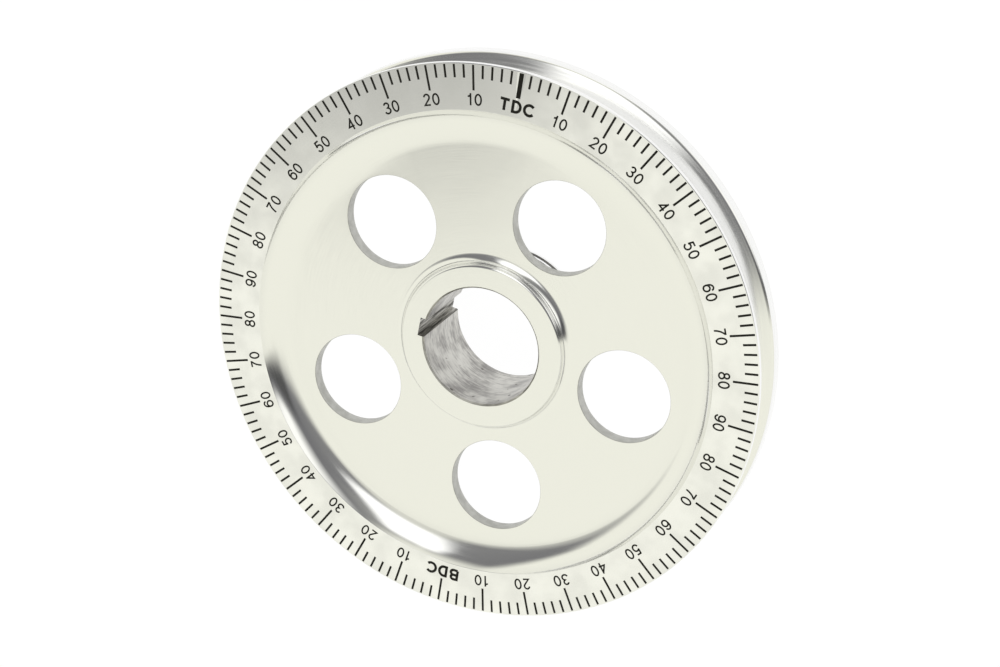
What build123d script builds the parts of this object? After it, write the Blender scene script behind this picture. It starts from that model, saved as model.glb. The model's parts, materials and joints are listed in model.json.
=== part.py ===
from build123d import *

import os
from math import radians, sqrt, tan

# Crankshaft belt pulley with a degree scale, turned from one aluminium casting.
# The origin is the centre of the bore on the rear end of the hub. +Z runs along the bore,
# out of the scale face, and +Y points at the wide zero mark. Millimetres throughout.

# Rim
rim_radius = 87.5
rim_width = 19.4
rim_edge_break = 0.3

# Belt groove, a vee round the rim
groove_angle = 36.0
groove_width = 12.75
groove_depth = 12.5
front_lip = 2.4
lip_bevel = 1.0

# Scale band on the front of the rim, and the dished web inside it
band_width = 14.1
dish_depth = 4.7
dish_cove = 9.2
web_thickness = 4.3

# Open rear recess, under the floor of the belt groove
rim_wall = 6.0
recess_bevel = 4.0

# Hub and bore
bore_radius = 18.5
bore_edge_break = 0.5
hub_wall = 6.5
hub_length = 27.0
hub_setback = 1.5
hub_draft = 1.3
hub_foot_bevel = 2.0
hub_foot_height = 0.9
hub_edge_break = 0.1
rear_hub_wall = 5.25
rear_hub_bevel = 2.0

# Keyway down the whole bore, its bearing measured clockwise from the zero mark
keyway_width = 5.9
keyway_depth = 1.8
keyway_bearing = 271.8

# Lightening holes, as wide as the flat web allows between these two margins
hole_count = 5
hole_bearing = 22.1
hub_margin = 3.05
rim_margin = 4.55

# Degree scale engraved in the band
mark_count = 180
marks_per_major = 5
mark_border = 0.5
mark_width = 0.5
mark_depth = 0.2
minor_mark_length = 4.0
major_mark_length = 7.6
zero_mark_width = 1.5

# Heights of the faces, measured up from the rear end of the hub
scale_face = hub_length + hub_setback
web_front = scale_face - dish_depth
web_rear = web_front - web_thickness
rim_rear = scale_face - rim_width

# Groove edges at the rim and at its floor
groove_slope = tan(radians(groove_angle / 2))
groove_floor_radius = rim_radius - groove_depth
groove_front = scale_face - front_lip
groove_rear = groove_front - groove_width
floor_front = groove_front - groove_depth * groove_slope
floor_rear = groove_rear + groove_depth * groove_slope

# Radii of the dish, the recess and the hub
dish_radius = rim_radius - band_width
dish_floor_radius = dish_radius - sqrt(dish_cove**2 - (dish_cove - dish_depth) ** 2)
recess_radius = groove_floor_radius - rim_wall
hub_radius = bore_radius + hub_wall
hub_foot_radius = hub_radius + hub_draft
rear_hub_radius = bore_radius + rear_hub_wall

# Holes centred in what is flat on both faces of the web
flat_web_inner = max(hub_foot_radius + hub_foot_bevel, rear_hub_radius + rear_hub_bevel)
flat_web_outer = min(dish_floor_radius, recess_radius - recess_bevel)
hole_inner = flat_web_inner + hub_margin
hole_outer = flat_web_outer - rim_margin
hole_radius = (hole_outer - hole_inner) / 2
hole_circle_radius = (hole_outer + hole_inner) / 2

# Bearings run clockwise from +Y, build angles counterclockwise from +X
full_turn = 360.0
zero_mark_angle = 90.0
mark_outer_radius = rim_radius - mark_border
mark_pitch = full_turn / mark_count
major_count = mark_count // marks_per_major
major_pitch = full_turn / major_count


def corner(sketch, radius, height):
    """The corner of a half section that lies at this radius and height."""
    return sketch.vertices().sort_by_distance((radius, height, 0))[0]


def mark_cutter(length, width):
    """A vee cut that runs inwards from the outer end of the marks, over the zero bearing."""
    outer_end = Plane((0, mark_outer_radius, scale_face), x_dir=(1, 0, 0), z_dir=(0, -1, 0))
    with BuildPart() as cutter:
        with BuildSketch(outer_end):
            with BuildLine():
                Polyline((-width / 2, 0), (width / 2, 0), (0, -mark_depth), close=True)
            make_face()
        extrude(amount=length)
    return cutter.part


minor_mark = mark_cutter(minor_mark_length, mark_width)
major_mark = mark_cutter(major_mark_length, mark_width)
zero_mark = mark_cutter(major_mark_length, zero_mark_width)

with BuildPart() as pulley:
    # Half section of the turned body
    with BuildSketch(Plane.XZ) as section:
        with BuildLine():
            Polyline(
                (dish_floor_radius, web_front),
                (hub_foot_radius, web_front),
                (hub_radius, hub_length),
                (bore_radius, hub_length),
                (bore_radius, 0),
                (rear_hub_radius, 0),
                (rear_hub_radius, web_rear),
                (recess_radius, web_rear),
                (recess_radius, rim_rear),
                (rim_radius, rim_rear),
                (rim_radius, groove_rear),
                (groove_floor_radius, floor_rear),
                (groove_floor_radius, floor_front),
                (rim_radius, groove_front),
                (rim_radius, scale_face),
                (dish_radius, scale_face),
            )
            TangentArc(
                (dish_floor_radius, web_front),
                (dish_radius, scale_face),
                tangent=(1, 0),
            )
        make_face()
        hub_foot = corner(section, hub_foot_radius, web_front)
        chamfer(hub_foot, length=hub_foot_bevel, length2=hub_foot_height)
        chamfer(corner(section, rear_hub_radius, web_rear), length=rear_hub_bevel)
        chamfer(corner(section, recess_radius, web_rear), length=recess_bevel)
        groove_lips = [corner(section, rim_radius, height) for height in (groove_front, groove_rear)]
        chamfer(groove_lips, length=lip_bevel)
        rim_edges = [corner(section, rim_radius, height) for height in (scale_face, rim_rear)]
        chamfer(rim_edges, length=rim_edge_break)
        chamfer(corner(section, hub_radius, hub_length), length=hub_edge_break)
        bore_edges = [corner(section, bore_radius, height) for height in (0, hub_length)]
        chamfer(bore_edges, length=bore_edge_break)
    revolve(axis=Axis.Z)

    # Lightening holes through the web
    with BuildSketch(Plane.XY.offset(web_rear)):
        with PolarLocations(hole_circle_radius, hole_count, start_angle=zero_mark_angle - hole_bearing):
            Circle(hole_radius)
    extrude(amount=web_thickness, mode=Mode.SUBTRACT)

    # Keyway from one end of the bore to the other
    with BuildSketch(Plane.XY):
        with PolarLocations(0, 1, start_angle=zero_mark_angle - keyway_bearing):
            Rectangle(bore_radius + keyway_depth, keyway_width, align=(Align.MIN, Align.CENTER))
    extrude(amount=hub_length, mode=Mode.SUBTRACT)

    # Degree marks: four short ones to each long one, and the wide one at zero
    for step in range(1, marks_per_major):
        with PolarLocations(0, major_count, start_angle=step * mark_pitch):
            add(minor_mark, mode=Mode.SUBTRACT)
    major_span = full_turn - 2 * major_pitch
    with PolarLocations(0, major_count - 1, major_pitch, major_span, endpoint=True):
        add(major_mark, mode=Mode.SUBTRACT)
    add(zero_mark, mode=Mode.SUBTRACT)

pulley.part.label = "crankshaft_pulley"
os.makedirs("parts", exist_ok=True)
export_step(pulley.part, "parts/crankshaft_pulley.step")
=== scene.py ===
import json
from functools import partial
from math import acos, ceil, cos, pi, radians, sin, tan

import bpy
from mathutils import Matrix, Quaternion, Vector


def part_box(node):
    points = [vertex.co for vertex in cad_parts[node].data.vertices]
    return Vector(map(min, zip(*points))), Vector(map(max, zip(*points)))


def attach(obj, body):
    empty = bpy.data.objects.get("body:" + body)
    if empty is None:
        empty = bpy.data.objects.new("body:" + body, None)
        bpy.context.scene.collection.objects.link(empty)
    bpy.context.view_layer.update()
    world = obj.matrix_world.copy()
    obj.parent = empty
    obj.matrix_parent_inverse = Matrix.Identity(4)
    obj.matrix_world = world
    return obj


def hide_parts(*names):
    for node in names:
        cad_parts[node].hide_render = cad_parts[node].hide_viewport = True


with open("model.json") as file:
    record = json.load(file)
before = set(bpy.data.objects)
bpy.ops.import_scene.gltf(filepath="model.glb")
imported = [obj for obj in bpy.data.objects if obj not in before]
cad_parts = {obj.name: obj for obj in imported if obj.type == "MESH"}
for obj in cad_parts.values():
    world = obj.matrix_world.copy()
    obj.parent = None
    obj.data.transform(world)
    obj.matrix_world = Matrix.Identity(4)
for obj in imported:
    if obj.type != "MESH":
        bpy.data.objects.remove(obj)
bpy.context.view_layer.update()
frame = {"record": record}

# Sizes from the frame. Lengths are metres, bearings run clockwise from +Y in degrees
mm = 0.001
NODE = "crankshaft_pulley"
low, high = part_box(NODE)
mounts = {mount["name"]: mount for mount in frame["record"]["mounts"]}
rim_radius = (high.x - low.x) / 2
scale_face = high.z
bore_radius = mounts["bore"]["dims"]["r_mm"] * mm
hub_length = mounts["washer_seat"]["pos_m"][2]

# Rim and belt groove
rim_width = 19.4 * mm
rim_edge_break = 0.3 * mm
groove_half_angle = radians(18)
groove_width = 12.75 * mm
groove_depth = 12.5 * mm
front_lip = 2.4 * mm
lip_rounding = 1.5 * mm
groove_root = 0.6 * mm

# Scale band, dished web and rear recess
band_width = 14.1 * mm
band_edge_break = 0.08 * mm
dish_depth = 4.7 * mm
dish_cove = 9.2 * mm
dish_rise_radius = 63.0 * mm
dish_rise_slope = radians(4)
dish_rise_blend = 40.0 * mm
web_thickness = 4.3 * mm
rim_wall = 6.0 * mm
recess_cove = 4.0 * mm

# Hub
hub_wall = 7.33 * mm
hub_draft = radians(5)
hub_cove = 2.6 * mm
hub_edge_rounding = 0.9 * mm
bore_chamfer = 0.5 * mm
rear_hub_wall = 5.25 * mm
rear_hub_cove = 2.0 * mm
keyway_width = 5.9 * mm
keyway_depth = 1.8 * mm
keyway_bearing = 271.8

# Oil return scroll cut in the rear hub
scroll_pitch = 2.5 * mm
scroll_length = 12.0 * mm
scroll_depth = 0.7 * mm
scroll_width = 1.5 * mm
scroll_floor_width = 0.7 * mm

# Lightening holes
hole_count = 5
hole_bearing = 22.1
hole_radius = 14.55 * mm
hole_circle_radius = 45.9 * mm
hole_edge_break = 0.12 * mm

# Degree scale. The ink stands ink_height over the band, and ink_gap off the walls of its marks
mark_count = 180
marks_per_major = 5
mark_border = 0.5 * mm
mark_width = 0.62 * mm
mark_depth = 0.2 * mm
minor_mark_length = 4.0 * mm
major_mark_length = 7.6 * mm
zero_mark_width = 1.25 * mm
ink_height = 0.02 * mm
ink_gap = 0.004 * mm
figure_base_radius = 74.9 * mm
figure_height = 3.65 * mm

# Heights and radii that follow from them
web_front = scale_face - dish_depth
web_rear = web_front - web_thickness
rim_rear = scale_face - rim_width
groove_floor_radius = rim_radius - groove_depth
groove_front = scale_face - front_lip
groove_rear = groove_front - groove_width
groove_rise = groove_depth * tan(groove_half_angle)
dish_radius = rim_radius - band_width
recess_radius = groove_floor_radius - rim_wall
hub_radius = bore_radius + hub_wall
rear_hub_radius = bore_radius + rear_hub_wall
keyway_floor = bore_radius + keyway_depth
mark_outer_radius = rim_radius - mark_border

# Fineness of the mesh
SEGMENTS = 360
COVE_STEP = radians(4)
EDGE_STEP = radians(23)
FINE_ROUNDING = 0.8 * mm
HOLE_STEPS = 128
SCROLL_STEPS = 96
BEND_DEGREES = 15
SHARP_EDGE = radians(20)


def around(radius, bearing, height=0.0):
    """The point at this radius, bearing and height."""
    angle = radians(bearing)
    return Vector((radius * sin(angle), radius * cos(angle), height))


def cove_corner(depth, rounding):
    """How far the corner under a cove lies from the edge where the cove ends."""
    turn = acos(1 - depth / rounding)
    return rounding * (sin(turn) - tan(turn / 2))


def rounded(corners):
    """A closed outline through (radius, height, rounding) corners, with an arc at each rounding."""
    outline = []
    for index, (x, y, rounding) in enumerate(corners):
        here = Vector((x, y))
        if rounding == 0:
            outline.append(here)
            continue
        back = (Vector(corners[index - 1][:2]) - here).normalized()
        ahead = (Vector(corners[(index + 1) % len(corners)][:2]) - here).normalized()
        half = back.angle(ahead) / 2
        centre = here + (back + ahead).normalized() * (rounding / sin(half))
        spoke = here + back * (rounding / tan(half)) - centre
        turn = pi - 2 * half
        if back.x * ahead.y - back.y * ahead.x > 0:
            turn = -turn
        steps = ceil(abs(turn) / (COVE_STEP if rounding > FINE_ROUNDING else EDGE_STEP))
        for step in range(steps + 1):
            angle = turn * step / steps
            turned = Vector((
                spoke.x * cos(angle) - spoke.y * sin(angle),
                spoke.x * sin(angle) + spoke.y * cos(angle),
            ))
            outline.append(centre + turned)
    return outline


def new_object(name, vertices, faces):
    mesh = bpy.data.meshes.new(name)
    mesh.from_pydata([tuple(vertex) for vertex in vertices], [], faces)
    mesh.validate()
    made = bpy.data.objects.new(name, mesh)
    bpy.context.scene.collection.objects.link(made)
    return made


def lathe(name, outline, segments):
    """A closed outline of (radius, height) points turned about the Z axis."""
    count = len(outline)
    vertices = []
    for turn in range(segments):
        vertices += [around(radius, -360 * turn / segments, height) for radius, height in outline]
    faces = []
    for turn in range(segments):
        here = turn * count
        there = (turn + 1) % segments * count
        for point in range(count):
            after = (point + 1) % count
            faces.append((here + point, there + point, there + after, here + after))
    return new_object(name, vertices, faces)


def prism(section, path):
    """Vertices and faces of a closed tube: section(place) gives the ring of points at each place."""
    rings = [section(place) for place in path]
    count = len(rings[0])
    vertices = [point for ring in rings for point in ring]
    faces = [tuple(reversed(range(count)))]
    for ring in range(len(rings) - 1):
        here = ring * count
        there = here + count
        for point in range(count):
            after = (point + 1) % count
            faces.append((here + point, here + after, there + after, there + point))
    last = (len(rings) - 1) * count
    faces.append(tuple(range(last, last + count)))
    return vertices, faces


def join(name, parts):
    """One object of several (vertices, faces) pairs."""
    vertices, faces = [], []
    for part_vertices, part_faces in parts:
        start = len(vertices)
        vertices += part_vertices
        faces += [tuple(start + index for index in face) for face in part_faces]
    return new_object(name, vertices, faces)


def combine(target, other, operation):
    """Applies a boolean of target with other, and deletes other."""
    modifier = target.modifiers.new("boolean", "BOOLEAN")
    modifier.object = other
    modifier.operation = operation
    modifier.solver = "EXACT"
    modifier.use_self = operation == "UNION"
    bpy.context.view_layer.update()
    evaluated = target.evaluated_get(bpy.context.evaluated_depsgraph_get())
    mesh = bpy.data.meshes.new_from_object(evaluated)
    target.modifiers.clear()
    target.data = mesh
    bpy.data.objects.remove(other)


def turned_body():
    """The pulley before its holes, keyway, marks and scroll are cut."""
    dish_corner = dish_radius - cove_corner(dish_depth, dish_cove)
    dish_corner_height = web_front + (dish_corner - dish_rise_radius) * tan(dish_rise_slope)
    corners = [
        (dish_corner, dish_corner_height, dish_cove),
        (dish_rise_radius, web_front, dish_rise_blend),
        (hub_radius + (hub_length - web_front) * tan(hub_draft), web_front, hub_cove),
        (hub_radius, hub_length, hub_edge_rounding),
        (bore_radius + bore_chamfer, hub_length, 0),
        (bore_radius, hub_length - bore_chamfer, 0),
        (bore_radius, bore_chamfer, 0),
        (bore_radius + bore_chamfer, 0, 0),
        (rear_hub_radius, 0, rim_edge_break),
        (rear_hub_radius, web_rear, rear_hub_cove),
        (recess_radius, web_rear, recess_cove),
        (recess_radius, rim_rear, rim_edge_break),
        (rim_radius, rim_rear, rim_edge_break),
        (rim_radius, groove_rear, lip_rounding),
        (groove_floor_radius, groove_rear + groove_rise, groove_root),
        (groove_floor_radius, groove_front - groove_rise, groove_root),
        (rim_radius, groove_front, lip_rounding),
        (rim_radius, scale_face, rim_edge_break),
        (dish_radius, scale_face, band_edge_break),
    ]
    return lathe("pulley_body", rounded(corners), SEGMENTS)


def hole_cutter(centre):
    """A cylinder through the web that flares a little at both faces."""
    clear = 2 * mm
    flare = hole_radius + hole_edge_break + clear

    def section(place):
        radius, height = place
        return [centre + around(radius, 360 * step / HOLE_STEPS, height) for step in range(HOLE_STEPS)]

    path = (
        (flare, web_front + clear),
        (hole_radius, web_front - hole_edge_break),
        (hole_radius, web_rear + hole_edge_break),
        (flare, web_rear - clear),
    )
    return prism(section, path)


def keyway_cutter():
    """A bar from the axis to the keyway floor, longer than the bore."""
    clear = 1 * mm
    outward = around(1, keyway_bearing)
    sideways = around(1, keyway_bearing + 90)

    def section(height):
        corners = []
        for reach, side in ((0, -1), (0, 1), (1, 1), (1, -1)):
            corner = outward * reach * keyway_floor + sideways * side * keyway_width / 2
            corners.append(corner + Vector((0, 0, height)))
        return corners

    return prism(section, (-clear, hub_length + clear))


def scroll_cutter():
    """A left-hand helix of trapezium section that starts past the hub end and runs out at its top."""
    turns = (scroll_length + scroll_pitch) / scroll_pitch
    steps = round(turns * SCROLL_STEPS)
    runout_steps = SCROLL_STEPS / 3
    outside = 0.4 * mm
    slope = (scroll_width - scroll_floor_width) / 2 / scroll_depth

    def section(step):
        height = -scroll_pitch + scroll_pitch * step / SCROLL_STEPS
        runout = max(0.0, 1 - (steps - step) / runout_steps)
        floor = rear_hub_radius - scroll_depth * (1 - runout)
        outer = rear_hub_radius + outside
        wide = scroll_floor_width / 2 + (outer - floor) * slope
        bearing = 360 * step / SCROLL_STEPS
        return [
            around(floor, bearing, height - scroll_floor_width / 2),
            around(outer, bearing, height - wide),
            around(outer, bearing, height + wide),
            around(floor, bearing, height + scroll_floor_width / 2),
        ]

    return prism(section, range(steps + 1))


def mark_prism(bearing, length, width, top, shrink=0.0):
    """A vee-shaped bar over one degree mark, to this height over the band.

    At the band it is as wide as the mark, less shrink on every side.
    """
    depth = mark_depth - shrink
    reach = (width / 2 - shrink) * (depth + top) / depth
    sideways = around(1, bearing + 90)

    def section(radius):
        middle = around(radius, bearing)
        return [
            middle + Vector((0, 0, scale_face - depth)),
            middle + sideways * reach + Vector((0, 0, scale_face + top)),
            middle - sideways * reach + Vector((0, 0, scale_face + top)),
        ]

    return prism(section, (mark_outer_radius - shrink, mark_outer_radius - length + shrink))


def scale_marks(top, shrink=0.0):
    """The bars of all degree marks."""
    bars = []
    for mark in range(mark_count):
        bearing = 360 * mark / mark_count
        length = minor_mark_length if mark % marks_per_major else major_mark_length
        width = mark_width if mark else zero_mark_width
        bars.append(mark_prism(bearing, length, width, top, shrink))
    return bars


# Figures and letters: centre lines of a pen, in cap heights, from the lower left corner
PEN = 0.145
BOLD_PEN = 0.235
TOP = 1 - PEN
WIDE = 0.50
FIGURE_ADVANCE = 0.776
LETTER_ADVANCE = 1.04


def bend(x, y, across, up, start, end):
    """Points on an ellipse about (x, y), from start to end in degrees, clockwise if end is less."""
    fewest_steps = 3
    steps = max(fewest_steps, ceil(abs(end - start) / BEND_DEGREES))
    points = []
    for step in range(steps + 1):
        angle = radians(start + (end - start) * step / steps)
        points.append((x + across * cos(angle), y + up * sin(angle)))
    return points


def six():
    bowl = bend(WIDE / 2, 0.275, WIDE / 2, 0.275, 180, 525)
    return [bend(0.27, 0.46, 0.27, TOP - 0.46, 30, 180) + bowl]


def turned_over(strokes):
    return [[(WIDE - x, TOP - y) for x, y in stroke] for stroke in strokes]


GLYPHS = {
    "0": [bend(WIDE / 2, TOP / 2, WIDE / 2, TOP / 2, 0, 360)],
    "1": [bend(0.02, TOP, 0.24, 0.2, -90, -12), [(0.26, TOP + PEN / 2), (0.26, -PEN / 2)]],
    "2": [bend(0.245, 0.64, 0.225, 0.235, 175, -38) + [(0.01, 0), (WIDE, 0)]],
    "3": [bend(0.24, 0.665, 0.205, 0.21, 165, -80) + bend(0.24, 0.23, WIDE / 2, 0.23, 80, -165)],
    "4": [
        [(0.38, TOP - 0.04), (0, 0.24), (WIDE + 0.03, 0.24)],
        [(0.38, TOP + PEN / 2), (0.38, -PEN / 2)],
    ],
    "5": [[(0.45, TOP), (0.10, TOP), (0.045, 0.42)], bend(0.235, 0.28, WIDE / 2, 0.28, 145, -165)],
    "6": six(),
    "7": [[(0, TOP), (WIDE + 0.04, TOP)], bend(0.95, -PEN / 2, 0.80, 1.10, 125, 180)],
    "8": [
        bend(WIDE / 2, 0.665, 0.205, 0.21, 0, 360),
        bend(WIDE / 2, 0.2275, WIDE / 2, 0.2275, 0, 360),
    ],
    "9": turned_over(six()),
    "T": [[(0, TOP), (0.78, TOP)], [(0.39, TOP), (0.39, -PEN / 2)]],
    "D": [[(0, 0), (0, TOP)] + bend(0.24, TOP / 2, 0.39, TOP / 2, 90, -90) + [(0, 0)]],
    "C": [bend(0.43, TOP / 2, 0.43, TOP / 2, 42, 318)],
    "B": [
        [(0, 0), (0, TOP)] + bend(0.32, 0.665, 0.23, 0.21, 90, -90) + [(0, 0.455)],
        [(0, 0.455)] + bend(0.34, 0.2275, 0.27, 0.2275, 90, -90) + [(0, 0)],
    ],
}


def ribbon(stroke, pen):
    """The left and right edge of a stroke of this pen width, mitred at its corners."""
    closing_gap = 1e-6
    sharpest_mitre = 0.5
    closed = (Vector(stroke[0]) - Vector(stroke[-1])).length < closing_gap
    points = [Vector(point) for point in (stroke[:-1] if closed else stroke)]
    count = len(points)
    left, right = [], []
    for index, point in enumerate(points):
        before = points[index - 1] if closed or index else None
        after = points[(index + 1) % count] if closed or index < count - 1 else None
        ways = []
        if before is not None:
            ways.append((point - before).normalized())
        if after is not None:
            ways.append((after - point).normalized())
        way = sum(ways, Vector((0, 0))).normalized()
        side = Vector((-way.y, way.x))
        reach = pen / 2 / max(sharpest_mitre, side.dot(Vector((-ways[0].y, ways[0].x))))
        left.append(point + side * reach)
        right.append(point - side * reach)
    return left, right, closed


def stroke_solid(stroke, pen, place):
    """A thin solid bar of ink along the stroke. place(x, y, height) puts a point of it on the part."""
    left, right, closed = ribbon(stroke, pen)

    def section(index):
        near, far = right[index], left[index]
        return [place(*near, 0), place(*far, 0), place(*far, 1), place(*near, 1)]

    vertices, faces = prism(section, range(len(left)))
    if closed:
        corners = 4
        last = corners * (len(left) - 1)
        faces = faces[1:-1]
        for point in range(corners):
            after = (point + 1) % corners
            faces.append((last + point, last + after, after, point))
    return vertices, faces


def label(text, bearing, pen, advance):
    """The ink solids of one label, upright on its bearing and centred there."""
    def place(shift, x, y, height):
        rise = figure_base_radius + (y + PEN / 2) * figure_height
        across = (x + shift) * figure_height
        point = around(rise, bearing) + around(across, bearing + 90)
        return point + Vector((0, 0, scale_face + (2 * height - 1) * ink_height))

    parts = []
    for index, letter in enumerate(text):
        strokes = GLYPHS[letter]
        columns = [x for stroke in strokes for x, y in stroke]
        middle = (max(columns) + min(columns)) / 2
        shift = (index - (len(text) - 1) / 2) * advance - middle
        parts += [stroke_solid(stroke, pen, partial(place, shift)) for stroke in strokes]
    return parts


def scale_figures():
    """Ten to ninety and back again on each side of the two dead centres."""
    parts = label("TDC", 0, BOLD_PEN, LETTER_ADVANCE) + label("BDC", 180, BOLD_PEN, LETTER_ADVANCE)
    for bearing in range(10, 360, 10):
        value = min(bearing % 180, 180 - bearing % 180)
        if value:
            parts += label(str(value), bearing, PEN, FIGURE_ADVANCE)
    return parts


# Node trees
def node(tree, kind, inputs=None, **settings):
    """A new node. An input is set to a value, or linked where the value is another node's socket."""
    made = tree.nodes.new(kind)
    for setting, value in settings.items():
        setattr(made, setting, value)
    for name, value in (inputs or {}).items():
        if isinstance(value, bpy.types.NodeSocket):
            tree.links.new(value, made.inputs[name])
        else:
            made.inputs[name].default_value = value
    return made


def calc(tree, operation, *values):
    return node(tree, "ShaderNodeMath", dict(enumerate(values)), operation=operation).outputs[0]


def vector_calc(tree, operation, inputs, output=0):
    return node(tree, "ShaderNodeVectorMath", inputs, operation=operation).outputs[output]


def ramp(tree, value, start, end, low_value=0.0, high_value=1.0, smooth=True):
    """low_value before start, high_value after end, and a soft or a straight step between them."""
    made = node(
        tree,
        "ShaderNodeMapRange",
        {"Value": value, "From Min": start, "From Max": end, "To Min": low_value, "To Max": high_value},
        interpolation_type="SMOOTHSTEP" if smooth else "LINEAR",
    )
    return made.outputs["Result"]


def blend_colors(tree, share, first, second):
    """The first colour where share is 0, and the second where it is 1."""
    # The colours of a mix node are its sockets 6 and 7, and its result 2
    return node(tree, "ShaderNodeMix", {0: share, 6: first, 7: second}, data_type="RGBA").outputs[2]


def object_place(tree):
    return node(tree, "ShaderNodeTexCoord").outputs["Object"]


def noise(tree, vector, scale=1.0, detail=2.0, roughness=0.5):
    inputs = {"Vector": vector, "Scale": scale, "Detail": detail, "Roughness": roughness}
    return node(tree, "ShaderNodeTexNoise", inputs).outputs["Fac"]


def turning_vector(tree, along, across):
    """Coordinates that change slowly round the axis and fast across it, as tool marks do."""
    split = node(tree, "ShaderNodeSeparateXYZ", {"Vector": object_place(tree)})
    flat = node(tree, "ShaderNodeCombineXYZ", {"X": split.outputs["X"], "Y": split.outputs["Y"]}).outputs[0]
    reach = vector_calc(tree, "LENGTH", {0: flat}, "Value")
    slow = vector_calc(tree, "SCALE", {0: vector_calc(tree, "NORMALIZE", {0: flat}), "Scale": along})
    fast = calc(tree, "MULTIPLY", calc(tree, "ADD", reach, split.outputs["Z"]), across)
    rise = node(tree, "ShaderNodeCombineXYZ", {"Z": fast}).outputs[0]
    return vector_calc(tree, "ADD", {0: slow, 1: rise})


# Finishes
NOISE_LOW = 0.3
NOISE_HIGH = 0.7


def new_material(name):
    """A material, its node tree and its shader."""
    material = bpy.data.materials.new(name)
    material.use_nodes = True
    return material, material.node_tree, material.node_tree.nodes["Principled BSDF"]


def metal(name, color, roughness):
    material, tree, shader = new_material(name)
    shader.inputs["Metallic"].default_value = 1.0
    shader.inputs["Base Color"].default_value = (*color, 1)
    shader.inputs["Roughness"].default_value = roughness
    return material, tree, shader


def over_noise(tree, value, low_value=0.0, high_value=1.0):
    """From low_value to high_value over the range where most of a noise lies."""
    return ramp(tree, value, NOISE_LOW, NOISE_HIGH, low_value, high_value)


def vary_color(tree, shader, share, first, second):
    color = blend_colors(tree, share, (*first, 1), (*second, 1))
    tree.links.new(color, shader.inputs["Base Color"])


def vary_roughness(tree, shader, value, low_value, high_value):
    tree.links.new(over_noise(tree, value, low_value, high_value), shader.inputs["Roughness"])


def set_bump(tree, shader, height, distance):
    bump = node(tree, "ShaderNodeBump", {"Height": height, "Distance": distance, "Strength": 1.0})
    tree.links.new(bump.outputs["Normal"], shader.inputs["Normal"])


def polished():
    material, tree, shader = metal("polished_aluminium", color=(0.91, 0.91, 0.90), roughness=0.1)
    rings = noise(tree, turning_vector(tree, along=6, across=3000), detail=3)
    clouds = noise(tree, object_place(tree), scale=60, detail=3)
    ring_share = 0.1
    vary_roughness(tree, shader, rings, 0.08, 0.13)
    height = calc(tree, "ADD", calc(tree, "MULTIPLY", rings, ring_share), clouds)
    set_bump(tree, shader, height, 0.02 * mm)
    return material


def satin():
    """The scale band, with its cloudy patches."""
    material, tree, shader = metal("satin_band", color=(0.92, 0.92, 0.92), roughness=0.2)
    rings = noise(tree, turning_vector(tree, along=8, across=4000), detail=3)
    patches = noise(tree, object_place(tree), scale=110, roughness=0.6)
    vary_color(tree, shader, over_noise(tree, patches), (0.87, 0.87, 0.88), (0.97, 0.97, 0.98))
    vary_roughness(tree, shader, patches, 0.13, 0.09)
    set_bump(tree, shader, rings, 0.002 * mm)
    return material


def turned():
    material, tree, shader = metal("turned_groove", color=(0.91, 0.91, 0.90), roughness=0.14)
    rings = noise(tree, turning_vector(tree, along=3, across=2500), detail=4)
    vary_roughness(tree, shader, rings, 0.1, 0.2)
    set_bump(tree, shader, rings, 0.01 * mm)
    return material


def bored():
    """The bore, with dark and light scratches round it and pits."""
    material, tree, shader = metal("rough_bore", color=(0.7, 0.69, 0.67), roughness=0.4)
    place = object_place(tree)
    streaks = noise(tree, turning_vector(tree, along=5, across=1400), detail=5, roughness=0.6)
    blots = noise(tree, place, scale=130, detail=3, roughness=0.6)
    streak_share = 0.5
    blot_share = 0.5
    mixed = calc(
        tree,
        "ADD",
        calc(tree, "MULTIPLY", streaks, streak_share),
        calc(tree, "MULTIPLY", blots, blot_share),
    )
    dark = (0.27, 0.26, 0.25, 1)
    light = (0.68, 0.67, 0.63, 1)
    scratched = blend_colors(tree, ramp(tree, mixed, 0.36, 0.62), dark, light)
    pits = ramp(tree, noise(tree, place, scale=380, detail=1), 0.70, 0.76)
    color = blend_colors(tree, pits, scratched, (0.12, 0.11, 0.10, 1))
    tree.links.new(color, shader.inputs["Base Color"])
    vary_roughness(tree, shader, streaks, 0.3, 0.5)
    set_bump(tree, shader, mixed, 0.05 * mm)
    return material


def broached():
    """The keyway, with streaks that run along the bore."""
    material, tree, shader = metal("broached_keyway", color=(0.5, 0.49, 0.47), roughness=0.45)
    stretch = (1400, 1400, 90)
    stretched = node(tree, "ShaderNodeMapping", {"Vector": object_place(tree), "Scale": stretch}).outputs[0]
    streaks = noise(tree, stretched, detail=4, roughness=0.6)
    vary_color(tree, shader, ramp(tree, streaks, 0.35, 0.62), (0.10, 0.095, 0.085), (0.62, 0.61, 0.57))
    vary_roughness(tree, shader, streaks, 0.55, 0.4)
    set_bump(tree, shader, streaks, 0.08 * mm)
    return material


def threaded():
    """The flanks and floor of the oil return scroll, darkened in colour as painted shade of the groove."""
    # Painted shade: the dark base colour stands in for the shade inside the scroll groove, and the noise
    # only varies it at random
    material, tree, shader = metal("scroll_groove", color=(0.22, 0.21, 0.20), roughness=0.5)
    rings = noise(tree, turning_vector(tree, along=4, across=3000), detail=3)
    vary_color(tree, shader, over_noise(tree, rings), (0.13, 0.125, 0.12), (0.3, 0.29, 0.28))
    set_bump(tree, shader, rings, 0.02 * mm)
    return material


def drilled():
    """The walls of the lightening holes."""
    material, tree, shader = metal("drilled_wall", color=(0.56, 0.56, 0.53), roughness=0.5)
    grain = noise(tree, object_place(tree), scale=350, detail=4)
    vary_color(tree, shader, over_noise(tree, grain), (0.46, 0.46, 0.43), (0.56, 0.56, 0.53))
    set_bump(tree, shader, grain, 0.02 * mm)
    return material


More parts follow.
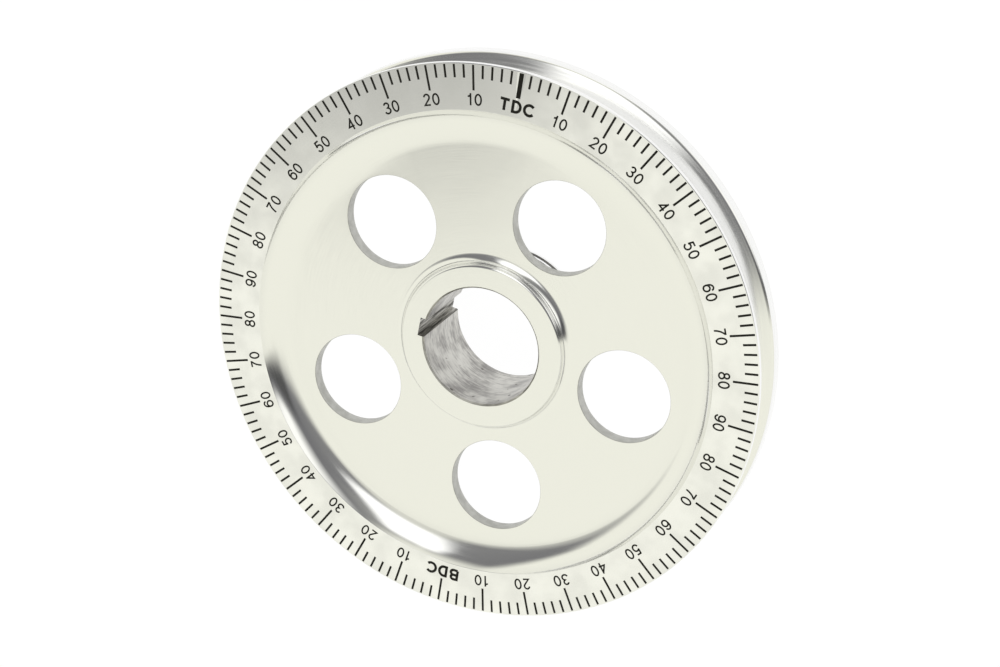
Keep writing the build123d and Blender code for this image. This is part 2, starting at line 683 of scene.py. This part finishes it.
def ink():
    material, tree, shader = new_material("scale_ink")
    grain = noise(tree, object_place(tree), scale=2500, detail=3)
    vary_color(tree, shader, over_noise(tree, grain), (0.006, 0.006, 0.004), (0.016, 0.015, 0.011))
    vary_roughness(tree, shader, grain, 0.5, 0.7)
    shader.inputs["Specular IOR Level"].default_value = 0.2
    set_bump(tree, shader, grain, 0.01 * mm)
    return material


# Body and ink
FINISHES = [polished(), satin(), turned(), bored(), broached(), threaded(), drilled()]
POLISHED, SATIN, TURNED, BORED, BROACHED, SCROLL_PAINTED_SHADE, DRILLED = range(len(FINISHES))
LEVEL_NORMAL = 0.9
TOLERANCE = 0.02 * mm
hole_bearings = [hole_bearing + 360 / hole_count * hole for hole in range(hole_count)]
hole_centres = [around(hole_circle_radius, bearing) for bearing in hole_bearings]


def finish_of(face):
    """Which finish the face has, from where it lies and the way it looks."""
    middle = face.center
    reach = middle.xy.length
    upright = abs(face.normal.z) < LEVEL_NORMAL
    hole = min((middle.xy - centre.xy).length for centre in hole_centres)
    if hole < hole_radius + hole_edge_break and upright:
        return DRILLED
    if reach < keyway_floor + TOLERANCE and 0 < middle.z < hub_length and upright:
        return BROACHED if reach > bore_radius + bore_chamfer else BORED
    # Upright faces low on the rear hub, between the keyway floor and the hub's outer radius, take the
    # scroll finish, whose dark colour is painted shade
    if middle.z < scroll_length + scroll_width and upright:
        if keyway_floor + TOLERANCE < reach < rear_hub_radius - TOLERANCE:
            return SCROLL_PAINTED_SHADE
    if reach > dish_radius and middle.z > scale_face - mark_depth:
        return SATIN
    if middle.z < web_front - TOLERANCE:
        return TURNED
    return POLISHED


def make_body():
    body = turned_body()
    cutters = [hole_cutter(centre) for centre in hole_centres]
    cutters += [keyway_cutter(), scroll_cutter()] + scale_marks(top=1 * mm)
    combine(body, join("cutters", cutters), "DIFFERENCE")
    for material in FINISHES:
        body.data.materials.append(material)
    for face in body.data.polygons:
        face.material_index = finish_of(face)
        face.use_smooth = True
    body.data.set_sharp_from_angle(angle=SHARP_EDGE)
    smoother = body.modifiers.new("weighted_normals", "WEIGHTED_NORMAL")
    smoother.keep_sharp = True
    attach(body, "root")
    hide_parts(NODE)


def make_ink():
    figures = join("scale_ink", scale_figures())
    combine(figures, join("marks", scale_marks(ink_height, ink_gap)), "UNION")
    figures.data.materials.append(ink())
    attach(figures, "root")


def make_floor():
    """A floor that shines by itself, so that it stays evenly white."""
    half_side = 3.0
    gray = 0.06
    glow = 0.98
    corners = [(x * half_side, y * half_side, 0) for x, y in ((-1, -1), (1, -1), (1, 1), (-1, 1))]
    floor = new_object("floor", corners, [(0, 1, 2, 3)])
    material, _, shader = new_material("pale_floor")
    shader.inputs["Base Color"].default_value = (gray, gray, gray, 1)
    shader.inputs["Roughness"].default_value = 1.0
    shader.inputs["Specular IOR Level"].default_value = 0.0
    shader.inputs["Emission Color"].default_value = (1, 1, 1, 1)
    shader.inputs["Emission Strength"].default_value = glow
    floor.data.materials.append(material)


# Studio: light of its parts
TENT = (0.93, 0.93, 0.825, 1)
TENT_LOW = (0.89, 0.89, 0.795, 1)
OPENING = (0.185, 0.185, 0.19, 1)
OPENING_DARK = (0.085, 0.085, 0.085, 1)
PATCH = (1.1, 1.1, 1.05, 1)
STRIP = (1.25, 1.25, 1.22, 1)

# Edges of its parts: where each step starts and ends, in degrees on the disc of directions
TENT_LOW_EDGE = (62, 85)
STRIP_LEFT = (-18.4, -12.6)
STRIP_RIGHT = (-9.5, 0)
STRIP_FOOT = (-6, 7)
STRIP_HEAD = (56, 71)
OPENING_LEFT = (-48, -36.5)
OPENING_HEAD = (52, 84)
LEFT_FOOT_STEEP = (-22.8, -19.5)
LEFT_FOOT_SHALLOW = (-19.5, -5)
RIGHT_FOOT = (-16, -3)
FOOT_SEAM = (-17.9, -14.9)
GAP_RIGHT = (-12, -5)
HAZE_SIDE = (15, 40)
UPPER_HAZE_LEFT = (0, 12)
UPPER_HAZE_FOOT = (28, 44)
DARK_LEFT = (26, 41)
DARK_HEAD = (11, 20)
PATCH_LEFT = (32, 56)
PATCH_RIGHT = (66, 92)
PATCH_FOOT = (17, 29)
PATCH_HEAD = (75, 100)


class Field:
    """A number that depends on the direction, worked out by nodes."""

    def __init__(self, tree, socket):
        self.tree = tree
        self.socket = socket

    def calc(self, operation, *others):
        values = [other.socket if isinstance(other, Field) else other for other in others]
        return Field(self.tree, calc(self.tree, operation, self.socket, *values))

    def __add__(self, other):
        return self.calc("ADD", other)

    def __sub__(self, other):
        return self.calc("SUBTRACT", other)

    def __rsub__(self, other):
        return Field(self.tree, calc(self.tree, "SUBTRACT", other, self.socket))

    def __mul__(self, other):
        return self.calc("MULTIPLY", other)

    def __truediv__(self, other):
        return self.calc("DIVIDE", other)

    def at_most(self, limit):
        return self.calc("MINIMUM", limit)

    def at_least(self, limit):
        return self.calc("MAXIMUM", limit)

    def after(self, edge):
        """0 before the edge and 1 after it, with a soft step."""
        return Field(self.tree, ramp(self.tree, self.socket, *edge))

    def before(self, edge):
        """1 before the edge and 0 after it, with a soft step."""
        return Field(self.tree, ramp(self.tree, self.socket, *edge, 1.0, 0.0))

    def climb(self, edge, gain=1.0):
        """0 before the edge and gain after it, with a straight climb."""
        return Field(self.tree, ramp(self.tree, self.socket, *edge, 0.0, gain, smooth=False))

    def mix(self, other, share):
        """This number where share is 0, and the other where it is 1."""
        return self + share * (other - self)


def directions(tree):
    """u, v and the tilt from +Z of each direction, in degrees.

    u and v spread the directions out on a disc along X and Y: the distance from its middle is the
    tilt, and the bearing stays.
    """
    way = node(tree, "ShaderNodeTexCoord").outputs["Generated"]
    split = node(tree, "ShaderNodeSeparateXYZ", {"Vector": way})
    x, y, z = (Field(tree, split.outputs[axis]) for axis in "XYZ")
    least_level = 0.0001
    tilt = z.calc("ARCCOSINE") * (180 / pi)
    level = (1 - z * z).calc("SQRT")
    spread = tilt / level.at_least(least_level)
    return x * spread, y * spread, tilt


def bright_strip(u, v):
    """Overhead, with its lower end drawn out to the right."""
    left_slant = 0.075
    head_start = 42
    head_slant = -0.17
    foot_end = 16
    foot_slant = -0.85
    left = u + v * left_slant + (v - head_start).at_least(0) * head_slant
    right = u + v.at_most(foot_end) * foot_slant
    strip = left.after(STRIP_LEFT) * right.before(STRIP_RIGHT)
    return strip * v.after(STRIP_FOOT) * v.before(STRIP_HEAD)


def right_foot(u, v):
    """The lower edge of the opening on its right side."""
    slant = -0.23
    return (v + u * slant).after(RIGHT_FOOT)


def haze(u, v):
    """What thins the opening beside the strip, more so on the upper right."""
    middle = -5
    everywhere = 0.045
    upper_right = 0.13
    upper = u.after(UPPER_HAZE_LEFT) * v.after(UPPER_HAZE_FOOT) * upper_right
    return (u - middle).calc("ABSOLUTE").before(HAZE_SIDE) * (upper + everywhere)


def dark_opening(u, v):
    """On the camera's side: hazy below on the left, sharper on the right, and fading out on top."""
    steep_share = 0.55
    shallow_share = 0.45
    seam_slant = -0.08
    gap_share = 0.3
    head_slant = -0.9
    left_start = 8
    left_slant = -0.42
    foot = v.climb(LEFT_FOOT_STEEP, steep_share) + v.climb(LEFT_FOOT_SHALLOW, shallow_share)
    seam = (u + v * seam_slant).after(FOOT_SEAM)
    foot = foot.mix(right_foot(u, v), seam)
    foot = foot.mix(foot.at_most(gap_share), seam * u.before(GAP_RIGHT))
    head = v + u.at_least(0) * head_slant
    left = u + (left_start - v).at_least(0) * left_slant
    return foot * head.before(OPENING_HEAD) * left.after(OPENING_LEFT) * (1 - haze(u, v))


def darkest_part(u, v):
    """Low on the right of the opening."""
    return u.after(DARK_LEFT) * v.before(DARK_HEAD) * right_foot(u, v)


def bright_patch(u, v):
    """On the right, over the darkest part."""
    middle = 40
    slant = 0.27
    left = u + (v - middle) * slant
    patch = left.climb(PATCH_LEFT) * u.before(PATCH_RIGHT)
    return patch * v.after(PATCH_FOOT) * v.before(PATCH_HEAD)


def make_studio():
    """A cream light tent with a dark opening, and a bright strip and patch in it."""
    world = bpy.data.worlds.new("studio")
    bpy.context.scene.world = world
    world.use_nodes = True
    tree = world.node_tree
    u, v, tilt = directions(tree)
    layers = (
        (tilt.after(TENT_LOW_EDGE), TENT_LOW),
        (dark_opening(u, v), OPENING),
        (darkest_part(u, v), OPENING_DARK),
        (bright_patch(u, v), PATCH),
        (bright_strip(u, v), STRIP),
    )
    color = TENT
    for share, light in layers:
        color = blend_colors(tree, share.socket, color, light)
    tree.links.new(color, tree.nodes["Background"].inputs["Color"])


# Camera, from the photograph's perspective
camera_bearing = 36.26
camera_elevation = radians(60.21)
camera_distance = 0.7408
camera_target = Vector((6.04 * mm, 6.87 * mm, scale_face))
camera_roll = radians(-130.55)
camera_lens = 89.71


def make_camera():
    camera = bpy.data.objects.new("camera", bpy.data.cameras.new("camera"))
    bpy.context.scene.collection.objects.link(camera)
    back = around(cos(camera_elevation), camera_bearing, sin(camera_elevation))
    camera.location = camera_target + back * camera_distance
    camera.rotation_mode = "QUATERNION"
    camera.rotation_quaternion = (-back).to_track_quat("-Z", "Y") @ Quaternion((0, 0, 1), camera_roll)
    camera.data.lens = camera_lens
    bpy.context.scene.camera = camera


make_body()
make_ink()
make_floor()
make_studio()
make_camera()
bpy.context.scene.view_settings.view_transform = "Standard"
